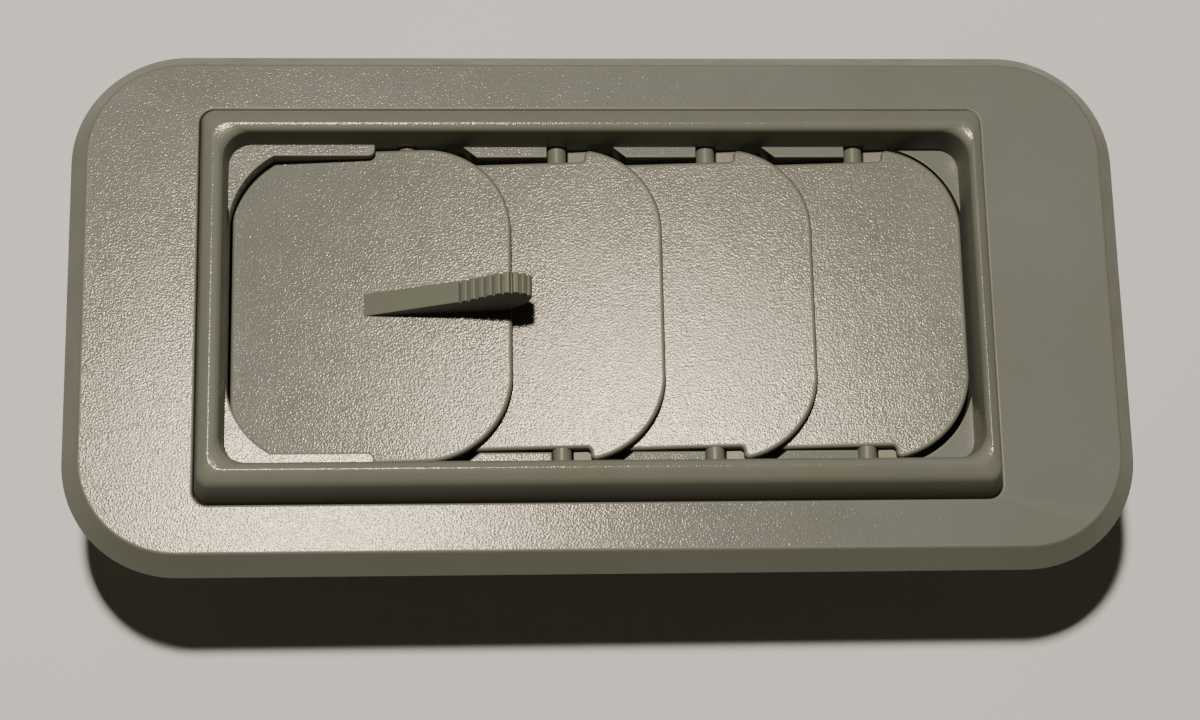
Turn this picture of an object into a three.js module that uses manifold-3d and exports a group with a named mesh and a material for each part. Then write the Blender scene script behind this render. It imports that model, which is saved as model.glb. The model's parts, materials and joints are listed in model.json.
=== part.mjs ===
// Hand-set louvre air vent: a bevelled wall plate, a raised louvre frame with four linked blades,
// a thumb lever on the first blade, and a short duct sleeve with spring clips behind the plate.
// Millimetres, +Z out of the wall, +X along the plate, origin under the middle of the duct's rear end.
import * as THREE from "three";
import * as BufferGeometryUtils from "three/addons/utils/BufferGeometryUtils.js";
import Module from "manifold-3d";

const wasm = await Module();
wasm.setup();

// Heights along Z
const FACE_Z = 46; // front face of the plate above the duct's rear end
const PLATE_DEPTH = 6; // from the plate's face to the rear edge of its sloped skirt
const PLATE_WALL = 2.2;
const RIM_RISE = 7.6; // top of the louvre frame above the plate's face
const FLANGE_FRONT = -5.5; // the frame's screw flange, below the plate's face
const FLANGE_REAR = -7.5;
const SOCKET_REAR = -15; // end of the frame's spigot that the duct slips over

// Half sizes in X and Y, corner radii, and how far the middle lies from the plate's
const PLATE_FACE = { hx: 115, hy: 56.7, r: 21.9, cx: 0 };
const PLATE_SLOPE = 4.1; // how far the skirt spreads out at its rear edge
const FRAME_BASE = { hx: 88.6, hy: 45.5, r: 3, cx: -1 };
const FLANGE = { hx: 95, hy: 51.5, r: 6, cx: -1.1 };
const OPENING = { hx: 82.75, hy: 36.9, r: 5, cx: -0.2 };
const SPIGOT = { hx: 84.75, hy: 38.9, r: 7, cx: -0.2 };
const DUCT_WALL = 1.6;
const FIT_GAP = 0.3; // between pieces that touch

// Blades
const BLADE_COUNT = 4;
const PITCH = 33.9;
const PIN_X = -43.2; // first pivot
const PIN_Z = -3.1; // pivots, below the plate's face
const PIN_R = 2.15;
const BORE_R = 2.22;
const BLADE_TILT = THREE.MathUtils.degToRad(5); // how far a closed blade leans
const BLADE_RIGHT = 23.45; // pivot to right edge
const BLADE_FRONT = 2.1; // pivot axis to front surface
const BLADE_BACK = 0; // pivot axis to back surface
const BLADE_CORNER = 19.8;
const DRIVER_LEFT = 39.25; // first blade: pivot to left edge
const FOLLOWER_LEFT = 19.3;
const DRIVER_CORNER = 15; // left corners of the first blade, hidden behind its stop
const BLADE_HALF = 36.5;
const NECK_HALF = 33.5; // narrow part of blades two to four
const NECK_RIGHT = 6.4;

// Ledges of the frame that the blades close against
const LEDGE_HALF = 34.4;
const RIB_START = 21.3; // ahead of the next pivot
const RIB_SLANT = 3.1;
const RIB_FRONT = -0.4;
const DRIVER_RIB_FRONT = 0.7;
const DRIVER_RIB_END = -50.4;
const DRIVER_RIB_ARC = { x: -63.05, y: 17.1, r: 20 };
const PAD_END = 8.5; // pad behind each blade, past its pivot
const PAD_HALF = 32;
const RAIL_FRONT = -6; // the rail between a pad and the next rib
const RAIL_REAR = -8;
const CORNER_LEDGE_FRONT = -2.2;
const CORNER_LEDGE_GAP = 1.5; // round the last blade's right corners

// Linkage behind the blades
const CRANK = { u: -23, w: -4 }; // crank pin in a blade's own axes
const CRANK_R = 1.5;
const EAR_Y = 19.5;
const EAR_WIDTH = 2.2;
const BAR_Y = 22.2;
const BAR_WIDTH = 2.5;
const BAR_HALF = 2.5;
const BAR_END = 3.5;
const CRANK_LENGTH = 5;

// Lever
const LEVER_FOOT = 5.2; // width where the lever rises from the blade
const LEVER_TIP = 4.7;
const RIDGES = 9;
const RIDGE_DEPTH = 0.45;

const CORNER_STEPS = 8;
const ROUND_STEPS = 24;

const SLATE = { color: 0x9c9a86, roughness: 0.55, metalness: 0 };
const FINISHES = {
  grained: SLATE,
  smooth: { color: 0x8f8e7a, roughness: 0.4, metalness: 0 },
  nylon: { color: 0xd9d6cb, roughness: 0.45, metalness: 0 },
  foam: { color: 0x2b2b2a, roughness: 0.95, metalness: 0 },
  rubber: { color: 0x1d1d1d, roughness: 0.8, metalness: 0 },
  steel: { color: 0xb8bbbd, roughness: 0.3, metalness: 1 },
};

// ---------------------------------------------------------------- geometry tools

function roundedLoop({ hx, hy, r, cx: middle }, z) {
  const points = [];
  const centres = [
    [hx - r, hy - r, 0],
    [-hx + r, hy - r, Math.PI / 2],
    [-hx + r, -hy + r, Math.PI],
    [hx - r, -hy + r, 1.5 * Math.PI],
  ];
  for (const [cx, cy, start] of centres) {
    for (let i = 0; i <= CORNER_STEPS; i++) {
      const a = start + (i / CORNER_STEPS) * (Math.PI / 2);
      const x = middle + cx + r * Math.cos(a);
      points.push(new THREE.Vector3(x, cy + r * Math.sin(a), z));
    }
  }
  return points;
}

function meshFromLoops(loops, capped) {
  const count = loops[0].length;
  const positions = loops.flat().flatMap((p) => [p.x, p.y, p.z]);
  const index = [];
  const rings = capped ? loops.length - 1 : loops.length;
  for (let k = 0; k < rings; k++) {
    const low = k * count;
    const high = ((k + 1) % loops.length) * count;
    for (let i = 0; i < count; i++) {
      const j = (i + 1) % count;
      index.push(low + i, low + j, high + j, low + i, high + j, high + i);
    }
  }
  if (capped) {
    const top = (loops.length - 1) * count;
    for (let i = 1; i < count - 1; i++) {
      index.push(0, i + 1, i, top, top + i, top + i + 1);
    }
  }
  const geometry = new THREE.BufferGeometry();
  geometry.setAttribute("position", new THREE.Float32BufferAttribute(positions, 3));
  geometry.setIndex(index);
  return geometry;
}

// A closed ring whose section is given as levels of rounded rectangles, outer side upwards first.
function ringLoft(levels) {
  return meshFromLoops(levels.map(({ z, ...size }) => roundedLoop(size, z)), false);
}

function solidLoft(levels) {
  return meshFromLoops(levels.map(({ z, ...size }) => roundedLoop(size, z)), true);
}

function grown(size, by) {
  return { ...size, hx: size.hx + by, hy: size.hy + by, r: Math.max(size.r + by, 0.5) };
}

function solid(geometry) {
  const bare = geometry.index ? geometry : geometry.clone();
  bare.deleteAttribute("normal");
  bare.deleteAttribute("uv");
  const merged = BufferGeometryUtils.mergeVertices(bare, 1e-4);
  return new wasm.Manifold(
    new wasm.Mesh({
      numProp: 3,
      vertProperties: merged.attributes.position.array,
      triVerts: new Uint32Array(merged.index.array),
    }),
  );
}

function geometryOf(manifold) {
  const mesh = manifold.getMesh();
  const geometry = new THREE.BufferGeometry();
  geometry.setAttribute("position", new THREE.BufferAttribute(mesh.vertProperties, 3));
  geometry.setIndex(new THREE.BufferAttribute(mesh.triVerts, 1));
  geometry.computeVertexNormals();
  return geometry;
}

// Solid between two heights under a flat outline in X and Y.
function prismZ(shape, z0, z1) {
  const geometry = new THREE.ExtrudeGeometry(shape, {
    depth: z1 - z0,
    bevelEnabled: false,
    curveSegments: CORNER_STEPS * 2,
  });
  geometry.translate(0, 0, z0);
  return solid(geometry);
}

// Solid between two Y values over an outline whose points are (X, Z).
function prismY(shape, y0, y1) {
  const geometry = new THREE.ExtrudeGeometry(shape, {
    depth: y1 - y0,
    bevelEnabled: false,
    curveSegments: CORNER_STEPS,
  });
  geometry.rotateX(Math.PI / 2);
  geometry.translate(0, y1, 0);
  return solid(geometry);
}

function polygon(points) {
  return new THREE.Shape(points.map(([x, y]) => new THREE.Vector2(x, y)));
}

function box(x0, x1, y0, y1, z0, z1) {
  const geometry = new THREE.BoxGeometry(x1 - x0, y1 - y0, z1 - z0);
  geometry.translate((x0 + x1) / 2, (y0 + y1) / 2, (z0 + z1) / 2);
  return solid(geometry);
}

function cylinderY(x, z, r, y0, y1, steps = ROUND_STEPS) {
  const geometry = new THREE.CylinderGeometry(r, r, y1 - y0, steps);
  geometry.translate(x, (y0 + y1) / 2, z);
  return solid(geometry);
}

function cylinderZ(x, y, r, z0, z1, steps = ROUND_STEPS) {
  const geometry = new THREE.CylinderGeometry(r, r, z1 - z0, steps);
  geometry.rotateX(Math.PI / 2);
  geometry.translate(x, y, (z0 + z1) / 2);
  return solid(geometry);
}

function piece(name, geometry, finish) {
  const mesh = new THREE.Mesh(geometry, new THREE.MeshStandardMaterial(FINISHES[finish]));
  mesh.name = name;
  return mesh;
}

// ---------------------------------------------------------------- plate, frame and duct

const BOSS_R = 2.4;
const BOSS_GAP = 0.2;
const bossX = FRAME_BASE.hx + FIT_GAP + BOSS_GAP + BOSS_R;
const bossY = FRAME_BASE.hy + FIT_GAP + BOSS_GAP + BOSS_R;
const SCREW_SPOTS = [
  [FRAME_BASE.cx + bossX, 28],
  [FRAME_BASE.cx + bossX, -28],
  [FRAME_BASE.cx - bossX, 28],
  [FRAME_BASE.cx - bossX, -28],
  [48, bossY],
  [48, -bossY],
  [-48, bossY],
  [-48, -bossY],
];
const SCREW_R = 0.95;
const SCREW_HOLE_R = 1.15;

function facePlate() {
  const rear = grown(PLATE_FACE, PLATE_SLOPE);
  const inner = grown(PLATE_FACE, -1.8);
  let plate = solid(
    solidLoft([
      { z: -PLATE_DEPTH, ...rear },
      { z: -0.7, ...grown(PLATE_FACE, 0.4) },
      { z: -0.2, ...grown(PLATE_FACE, 0.1) },
      { z: 0, ...grown(PLATE_FACE, -0.4) },
    ]),
  );
  const hollow = solid(
    solidLoft([
      { z: -PLATE_DEPTH - 0.1, ...grown(inner, 2.7) },
      { z: -PLATE_WALL, ...inner },
    ]),
  );
  plate = plate.subtract(hollow);
  for (const [x, y] of SCREW_SPOTS) {
    plate = plate.add(cylinderZ(x, y, BOSS_R, FLANGE_FRONT + FIT_GAP, -1, 16));
  }
  for (const [x, y] of SCREW_SPOTS) {
    plate = plate.subtract(cylinderZ(x, y, SCREW_HOLE_R, FLANGE_FRONT - 1, -0.9, 12));
  }
  const cutOut = solidLoft([
    { z: -PLATE_DEPTH, ...grown(FRAME_BASE, FIT_GAP) },
    { z: 1, ...grown(FRAME_BASE, FIT_GAP) },
  ]);
  return geometryOf(plate.subtract(solid(cutOut)));
}

// Height of a closed blade's surface at X, for a surface `offset` in front of the pivot axis.
function surfaceZ(x, pinX, offset) {
  return PIN_Z + offset / Math.cos(BLADE_TILT) + (x - pinX) * Math.tan(BLADE_TILT);
}

function pinX(i) {
  return PIN_X + i * PITCH;
}

// Front line of the rail, as (X, Z) points from the first blade's pivot to the right wall.
function railProfile(endX) {
  const points = [];
  for (let i = 0; i < BLADE_COUNT; i++) {
    const start = pinX(i) + BORE_R + 0.3;
    const padEnd = pinX(i) + PAD_END;
    points.push([start, surfaceZ(start, pinX(i), BLADE_BACK - FIT_GAP)]);
    points.push([padEnd, surfaceZ(padEnd, pinX(i), BLADE_BACK - FIT_GAP)]);
    points.push([padEnd, RAIL_FRONT]);
    if (i < BLADE_COUNT - 1) {
      const ribStart = pinX(i + 1) - RIB_START;
      const ribEnd = pinX(i + 1) - BORE_R - 0.1;
      points.push([ribStart, RAIL_FRONT], [ribStart, RIB_FRONT], [ribEnd, RIB_FRONT]);
      points.push([ribEnd, PIN_Z - BORE_R], [pinX(i + 1) + BORE_R + 0.3, PIN_Z - BORE_R]);
    } else {
      points.push([endX, RAIL_FRONT]);
    }
  }
  return points;
}

// One rail with its ribs and pads, along the upper wall.
function rail() {
  const endX = OPENING.cx + OPENING.hx + 0.5;
  const front = railProfile(endX);
  const outline = [[front[0][0], RAIL_REAR], ...front, [endX, RAIL_REAR]].reverse();
  let bar = prismY(polygon(outline), LEDGE_HALF, OPENING.hy + 0.6);
  for (let i = 0; i < BLADE_COUNT; i++) {
    const start = pinX(i) + BORE_R + 0.3;
    const end = pinX(i) + PAD_END;
    const pad = polygon([
      [start, RAIL_REAR],
      [end, RAIL_REAR],
      [end, surfaceZ(end, pinX(i), BLADE_BACK - FIT_GAP)],
      [start, surfaceZ(start, pinX(i), BLADE_BACK - FIT_GAP)],
    ]);
    bar = bar.add(prismY(pad, PAD_HALF, OPENING.hy + 0.6));
  }
  for (let i = 1; i < BLADE_COUNT; i++) {
    const x = pinX(i) - RIB_START;
    const over = RIB_SLANT / (OPENING.hy - LEDGE_HALF);
    const cut = polygon([
      [x - 1, LEDGE_HALF - 1],
      [x + RIB_SLANT + over, LEDGE_HALF - 1],
      [x - 0.1 * over, OPENING.hy + 0.1],
      [x - 1, OPENING.hy + 0.1],
    ]);
    bar = bar.subtract(prismZ(cut, RAIL_FRONT, RIB_FRONT + 1));
  }
  return bar;
}

// Flat ledge that fills the opening's corner beside the last blade's rounded corner.
function ledgeCorner() {
  const wallX = OPENING.cx + OPENING.hx + 0.5;
  const wallY = OPENING.hy + 0.5;
  const r = BLADE_CORNER + CORNER_LEDGE_GAP;
  const x = pinX(BLADE_COUNT - 1) + (BLADE_RIGHT - BLADE_CORNER) * Math.cos(BLADE_TILT);
  const y = BLADE_HALF - BLADE_CORNER;
  const first = Math.acos((wallX - x) / r);
  const last = Math.asin((wallY - y) / r);
  const shape = new THREE.Shape();
  shape.moveTo(wallX, wallY);
  shape.absarc(x, y, r, last, first, true);
  return prismZ(shape, RAIL_REAR, CORNER_LEDGE_FRONT);
}

// Rib in front of the first blade's left corner, with a rounded right end.
function driverRib() {
  const wall = OPENING.hx - OPENING.cx + 0.6;
  const end = 1.6;
  const { x, y, r } = DRIVER_RIB_ARC;
  const meet = Math.asin((LEDGE_HALF - y) / r);
  const shape = new THREE.Shape();
  shape.moveTo(-wall, OPENING.hy + 0.6);
  shape.lineTo(-wall, y);
  shape.lineTo(x - r, y);
  shape.absarc(x, y, r, Math.PI, Math.PI - meet, true);
  shape.lineTo(DRIVER_RIB_END - end, LEDGE_HALF);
  shape.absarc(DRIVER_RIB_END - end, LEDGE_HALF + end, end, -Math.PI / 2, 0, false);
  shape.lineTo(DRIVER_RIB_END, OPENING.hy + 0.6);
  const block = prismZ(shape, -9, DRIVER_RIB_FRONT);
  const blade = polygon([
    [-wall - 1, -12],
    [DRIVER_RIB_END + 1, -12],
    [DRIVER_RIB_END + 1, surfaceZ(DRIVER_RIB_END + 1, PIN_X, BLADE_FRONT + FIT_GAP)],
    [-wall - 1, surfaceZ(-wall - 1, PIN_X, BLADE_FRONT + FIT_GAP)],
  ]);
  return block.subtract(prismY(blade, 0, OPENING.hy + 2));
}

function bothSides(upper) {
  return upper.add(upper.mirror([0, 1, 0]));
}

function louvreFrame() {
  const ring = ringLoft([
    { z: FLANGE_REAR, ...FLANGE },
    { z: FLANGE_FRONT, ...FLANGE },
    { z: FLANGE_FRONT, ...FRAME_BASE },
    { z: 0, ...FRAME_BASE },
    { z: 5.7, hx: 87.75, hy: 43.4, r: 3, cx: -1 },
    { z: 6.8, hx: 87.3, hy: 42.6, r: 3, cx: -0.95 },
    { z: 7.3, hx: 86.5, hy: 41.3, r: 3, cx: -0.9 },
    { z: RIM_RISE, hx: 85.4, hy: 39.8, r: 3, cx: -0.8 },
    { z: 7.4, hx: 84.6, hy: 38.75, r: 4.5, cx: -0.4 },
    { z: 7.05, hx: 84.1, hy: 38.2, r: 5.5, cx: -0.3 },
    { z: 6, hx: 83.6, hy: 37.9, r: 6, cx: -0.2 },
    { z: RIB_FRONT, ...OPENING },
    { z: SOCKET_REAR, ...OPENING },
    { z: SOCKET_REAR, ...SPIGOT },
    { z: 4.5, ...SPIGOT },
    { z: 4.5, hx: 86, hy: 41.4, r: 5, cx: -1 },
    { z: FLANGE_REAR, hx: 87, hy: 44, r: 2, cx: -1.1 },
  ]);
  const within = solidLoft([
    { z: -40, ...grown(SPIGOT, -0.6) },
    { z: 40, ...grown(SPIGOT, -0.6) },
  ]);
  const ledges = bothSides(rail().add(ledgeCorner()).add(driverRib()));
  let frame = solid(ring).add(ledges.intersect(solid(within)));
  for (let i = 0; i < BLADE_COUNT; i++) {
    const x = pinX(i);
    const bore = cylinderY(x, PIN_Z, BORE_R, OPENING.hy - 1, SPIGOT.hy + 1);
    const groove = box(x - BORE_R, x + BORE_R, OPENING.hy - 1, OPENING.hy + 0.3, PIN_Z, 3);
    frame = frame.subtract(bothSides(bore.add(groove)));
  }
  for (const [x, y] of SCREW_SPOTS) {
    frame = frame.subtract(cylinderZ(x, y, SCREW_HOLE_R, FLANGE_REAR - 1, FLANGE_FRONT + 1, 12));
  }
  return geometryOf(frame);
}

const DUCT_IN = grown(SPIGOT, FIT_GAP);
const DUCT_OUT = grown(DUCT_IN, DUCT_WALL);
const CLIP_Z = -33;
const CLIP_SCREW_Y = 9;

function rearDuct() {
  const front = FLANGE_REAR - FIT_GAP;
  let duct = solid(
    ringLoft([
      { z: -FACE_Z, ...DUCT_OUT },
      { z: front, ...DUCT_OUT },
      { z: front, ...DUCT_IN },
      { z: -FACE_Z, ...DUCT_IN },
    ]),
  );
  for (const side of [1, -1]) {
    for (const y of [CLIP_SCREW_Y, -CLIP_SCREW_Y]) {
      const hole = new THREE.CylinderGeometry(SCREW_HOLE_R, SCREW_HOLE_R, 8, 12);
      hole.rotateZ(Math.PI / 2);
      hole.translate(DUCT_OUT.cx + side * DUCT_OUT.hx, y, CLIP_Z);
      duct = duct.subtract(solid(hole));
    }
  }
  return geometryOf(duct);
}

function wallGasket() {
  const outer = grown(PLATE_FACE, -2.4);
  const inner = grown(outer, -2.6);
  return ringLoft([
    { z: -PLATE_DEPTH - 0.4, ...outer },
    { z: -PLATE_WALL - FIT_GAP, ...outer },
    { z: -PLATE_WALL - FIT_GAP, ...inner },
    { z: -PLATE_DEPTH - 0.4, ...inner },
  ]);
}

// ---------------------------------------------------------------- blades and lever

// Flat outline of a blade, in its own axes, u to the right of the pivot.
function bladeOutline(left, neck) {
  const top = BLADE_HALF;
  const r = BLADE_CORNER;
  const right = BLADE_RIGHT;
  const shape = new THREE.Shape();
  if (neck) {
    const small = 1.5;
    shape.moveTo(-left, -NECK_HALF);
    shape.lineTo(NECK_RIGHT - small, -NECK_HALF);
    shape.absarc(NECK_RIGHT - small, -NECK_HALF - small, small, Math.PI / 2, 0, true);
    shape.lineTo(NECK_RIGHT, -Math.sqrt(r * r - (NECK_RIGHT - right + r) ** 2) - top + r);
  } else {
    const rl = DRIVER_CORNER;
    shape.moveTo(-left, 0);
    shape.absarc(-left + rl, -top + rl, rl, Math.PI, 1.5 * Math.PI, false);
    shape.lineTo(right - r, -top);
  }
  const first = neck ? Math.asin((NECK_RIGHT - right + r) / r) : 0;
  shape.absarc(right - r, -top + r, r, 1.5 * Math.PI + first, 2 * Math.PI, false);
  shape.absarc(right - r, top - r, r, 0, Math.PI / 2 - first, false);
  if (neck) {
    const small = 1.5;
    shape.lineTo(NECK_RIGHT, NECK_HALF + small);
    shape.absarc(NECK_RIGHT - small, NECK_HALF + small, small, 0, -Math.PI / 2, true);
    shape.lineTo(-left, NECK_HALF);
  } else {
    const rl = DRIVER_CORNER;
    shape.absarc(-left + rl, top - rl, rl, Math.PI / 2, Math.PI, false);
  }
  return shape;
}

function crankEar() {
  const { u, w } = CRANK;
  const shape = new THREE.Shape();
  shape.moveTo(-8, BLADE_BACK + 0.3);
  shape.lineTo(-18.8, BLADE_BACK + 0.3);
  shape.lineTo(u - 1.9, w + 1.9);
  shape.absarc(u, w, 2.7, 0.75 * Math.PI, 1.7 * Math.PI, false);
  return prismY(shape, EAR_Y, EAR_Y + EAR_WIDTH).add(
    cylinderY(u, w, CRANK_R, EAR_Y + 0.5, EAR_Y + EAR_WIDTH + CRANK_LENGTH, 16),
  );
}

// A blade in its own axes: u along X from the pivot, w along Z, front surface up.
function bladeSolid(left, neck, pinEnd) {
  let blade = prismZ(bladeOutline(left, neck), BLADE_BACK, BLADE_FRONT);
  const inner = neck ? NECK_HALF - 9 : BLADE_HALF - 10;
  const pin = cylinderY(0, 0, PIN_R, inner, pinEnd);
  const web = box(-1, 1, inner - 14, inner + 1, -0.6, BLADE_BACK + 0.2);
  blade = blade.add(bothSides(pin.add(web)));
  return blade.add(crankEar());
}

function leverTop() {
  const straight = [
    [-53, -1.84],
    [-32, 7.91],
  ];
  const curve = new THREE.CubicBezierCurve(
    new THREE.Vector2(-32, 7.91),
    new THREE.Vector2(-25, 12.51),
    new THREE.Vector2(-19.7, 18.91),
    new THREE.Vector2(-15.7, 11.31),
  );
  const points = [...straight];
  for (let i = 0; i < RIDGES; i++) {
    const a = curve.getPointAt((i + 0.3) / RIDGES);
    const b = curve.getPointAt((i + 0.95) / RIDGES);
    const v = curve.getPointAt((i + 0.12) / RIDGES);
    const t = curve.getTangentAt((i + 0.12) / RIDGES);
    points.push([v.x + RIDGE_DEPTH * t.y, v.y - RIDGE_DEPTH * t.x]);
    points.push([a.x, a.y], [b.x, b.y]);
  }
  return points;
}

const LEVER_SEAT = 0.5; // depth of the pocket in blade one that the lever's foot sits in
const TONGUE = { x0: -47, x1: -36, half: 1.3, hook: 1.2 };

// Outline in world (X, Z) at rest.
function leverOutline() {
  const seat = (x) => surfaceZ(x, PIN_X, BLADE_FRONT - LEVER_SEAT + 0.3);
  const under = [
    [-16.2, 8.51],
    [-18.2, 4.31],
    [-21.4, seat(-21.4) + 1.6],
    [-22.6, seat(-22.6)],
    [-52.6, seat(-52.6)],
  ];
  return [...leverTop(), ...under].reverse();
}

function leverTongue(gap, deep) {
  const top = (x) => surfaceZ(x, PIN_X, BLADE_FRONT);
  const low = (x) => surfaceZ(x, PIN_X, BLADE_BACK - deep);
  const shape = polygon([
    [TONGUE.x0 - gap, low(TONGUE.x0 - gap)],
    [TONGUE.x1 + gap, low(TONGUE.x1 + gap)],
    [TONGUE.x1 + gap, top(TONGUE.x1 + gap)],
    [TONGUE.x0 - gap, top(TONGUE.x0 - gap)],
  ]);
  return prismY(shape, -TONGUE.half - gap, TONGUE.half + gap);
}

// The lever's body, which narrows from its foot towards its tip.
function leverBody() {
  const geometry = new THREE.ExtrudeGeometry(polygon(leverOutline()), { depth: 1, bevelEnabled: false });
  geometry.rotateX(Math.PI / 2);
  geometry.translate(0, 0.5, 0);
  const points = geometry.attributes.position;
  for (let i = 0; i < points.count; i++) {
    const share = (points.getX(i) + 53) / 37;
    points.setY(i, points.getY(i) * THREE.MathUtils.lerp(LEVER_FOOT, LEVER_TIP, share));
  }
  return solid(geometry);
}

function thumbLever() {
  const body = leverBody();
  const low = (x, d) => surfaceZ(x, PIN_X, BLADE_BACK - d);
  const hookX = TONGUE.x1 + TONGUE.hook;
  const hook = polygon([
    [TONGUE.x1 - 2, low(TONGUE.x1 - 2, 2)],
    [hookX - 0.6, low(hookX - 0.6, 2)],
    [hookX, low(hookX, FIT_GAP)],
    [TONGUE.x1 - 2, low(TONGUE.x1 - 2, FIT_GAP)],
  ]);
  const tongue = leverTongue(0, 2);
  return geometryOf(body.add(tongue).add(prismY(hook, -TONGUE.half, TONGUE.half)));
}

// Moves a solid from a blade's own axes to its closed place on pivot i.
function closed(manifold, i) {
  const degrees = THREE.MathUtils.radToDeg(BLADE_TILT);
  return manifold.rotate([0, -degrees, 0]).translate([pinX(i), 0, PIN_Z]);
}

function driverBlade() {
  const half = LEVER_FOOT / 2 + 0.12;
  const pocketTop = (x) => surfaceZ(x, PIN_X, BLADE_FRONT + 1);
  const pocketLow = (x) => surfaceZ(x, PIN_X, BLADE_FRONT - LEVER_SEAT);
  const pocket = polygon([
    [-53.3, pocketLow(-53.3)],
    [-22.4, pocketLow(-22.4)],
    [-22.4, pocketTop(-22.4)],
    [-53.3, pocketTop(-53.3)],
  ]);
  const blade = closed(bladeSolid(DRIVER_LEFT, false, SPIGOT.hy + 2.2), 0);
  const slot = leverTongue(TONGUE.hook + 0.3, 3);
  return geometryOf(blade.subtract(prismY(pocket, -half, half)).subtract(slot));
}

function followerBlade(i) {
  return geometryOf(closed(bladeSolid(FOLLOWER_LEFT, true, SPIGOT.hy - 0.2), i));
}

// ---------------------------------------------------------------- linkage, clips and screws

// World (X, Z) of crank pin i at rest.
function crankAt(i) {
  const { u, w } = CRANK;
  const c = Math.cos(BLADE_TILT);
  const s = Math.sin(BLADE_TILT);
  return [pinX(i) + u * c - w * s, PIN_Z + u * s + w * c];
}

function linkBar() {
  const [x0, z] = crankAt(0);
  const [x1] = crankAt(BLADE_COUNT - 1);
  const shape = new THREE.Shape();
  shape.absarc(x1 + BAR_END - BAR_HALF, z, BAR_HALF, -Math.PI / 2, Math.PI / 2, false);
  shape.absarc(x0 - BAR_END + BAR_HALF, z, BAR_HALF, Math.PI / 2, 1.5 * Math.PI, false);
  let bar = prismY(shape, BAR_Y, BAR_Y + BAR_WIDTH);
  for (let i = 0; i < BLADE_COUNT; i++) {
    const [x] = crankAt(i);
    bar = bar.subtract(cylinderY(x, z, CRANK_R + 0.08, BAR_Y - 1, BAR_Y + BAR_WIDTH + 1, 20));
  }
  return geometryOf(bar);
}

// A flat ring around a Y axis.
function ringY(x, z, rIn, rOut, y0, y1, steps = ROUND_STEPS) {
  const profile = [
    new THREE.Vector2(rIn, y0),
    new THREE.Vector2(rOut, y0),
    new THREE.Vector2(rOut, y1),
    new THREE.Vector2(rIn, y1),
    new THREE.Vector2(rIn, y0),
  ];
  const geometry = new THREE.LatheGeometry(profile, steps);
  geometry.translate(x, 0, z);
  return geometryOf(solid(geometry));
}

function springClip(side) {
  const wall = DUCT_OUT.hx + FIT_GAP;
  const thick = 0.8;
  const outline = [
    [wall, -40],
    [wall + thick, -40],
    [wall + thick, -26.4],
    [wall + 7.8, -13.6],
    [wall + 7.2, -10.4],
    [wall + 6.3, -10.6],
    [wall + 6.8, -13.4],
    [wall, -26],
  ].map(([x, z]) => [DUCT_OUT.cx + side * x, z]);
  if (side < 0) outline.reverse();
  let clip = prismY(polygon(outline), -15, 15);
  for (const y of [CLIP_SCREW_Y, -CLIP_SCREW_Y]) {
    const hole = new THREE.CylinderGeometry(SCREW_HOLE_R, SCREW_HOLE_R, 4, 12);
    hole.rotateZ(Math.PI / 2);
    hole.translate(DUCT_OUT.cx + side * wall, y, CLIP_Z);
    clip = clip.subtract(solid(hole));
  }
  return geometryOf(clip);
}

// A pan-head screw along +Z from its head's seat at the origin.
function screwGeometry(length) {
  const profile = [
    new THREE.Vector2(0, -1.3),
    new THREE.Vector2(1.2, -1.3),
    new THREE.Vector2(1.9, -0.8),
    new THREE.Vector2(2, 0),
    new THREE.Vector2(SCREW_R, 0),
    new THREE.Vector2(SCREW_R, length - 0.8),
    new THREE.Vector2(0, length),
  ];
  return new THREE.LatheGeometry(profile, 14).rotateX(Math.PI / 2);
}

// ---------------------------------------------------------------- assembly

const vent = new THREE.Group();
vent.position.z = FACE_Z;

vent.add(piece("face_plate", facePlate(), "grained"));
vent.add(piece("louvre_frame", louvreFrame(), "grained"));
vent.add(piece("rear_duct", rearDuct(), "smooth"));
vent.add(piece("wall_gasket", wallGasket(), "foam"));

vent.add(piece("blade_1", driverBlade(), "grained"));
for (let i = 1; i < BLADE_COUNT; i++) {
  vent.add(piece(`blade_${i + 1}`, followerBlade(i), "grained"));
}
vent.add(piece("thumb_lever", thumbLever(), "smooth"));
vent.add(piece("link_bar", linkBar(), "nylon"));

for (let i = 0; i < BLADE_COUNT; i++) {
  const [x, z] = crankAt(i);
  const y = BAR_Y + BAR_WIDTH + FIT_GAP;
  vent.add(piece(`link_clip_${i + 1}`, ringY(x, z, CRANK_R + 0.1, 3, y, y + 0.7, 16), "steel"));
}
for (const [name, side] of [["friction_ring_upper", 1], ["friction_ring_lower", -1]]) {
  const y = [side * (SPIGOT.hy + FIT_GAP), side * (SPIGOT.hy + FIT_GAP + 1.2)];
  y.sort((a, b) => a - b);
  vent.add(piece(name, ringY(PIN_X, PIN_Z, PIN_R + 0.1, 3.6, y[0], y[1], 20), "rubber"));
}

for (const [name, side] of [["left", -1], ["right", 1]]) {
  vent.add(piece(`spring_clip_${name}`, springClip(side), "steel"));
  for (const [end, y] of [["upper", CLIP_SCREW_Y], ["lower", -CLIP_SCREW_Y]]) {
    const screw = piece(`clip_screw_${name}_${end}`, screwGeometry(3.6), "steel");
    screw.rotation.y = (-side * Math.PI) / 2;
    const seat = DUCT_OUT.hx + 2 * FIT_GAP + 0.8;
    screw.position.set(DUCT_OUT.cx + side * seat, y, CLIP_Z);
    vent.add(screw);
  }
}

SCREW_SPOTS.forEach(([x, y], i) => {
  const screw = piece(`frame_screw_${i + 1}`, screwGeometry(5.8), "steel");
  screw.position.set(x, y, FLANGE_REAR - FIT_GAP);
  vent.add(screw);
});

export default vent;
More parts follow.
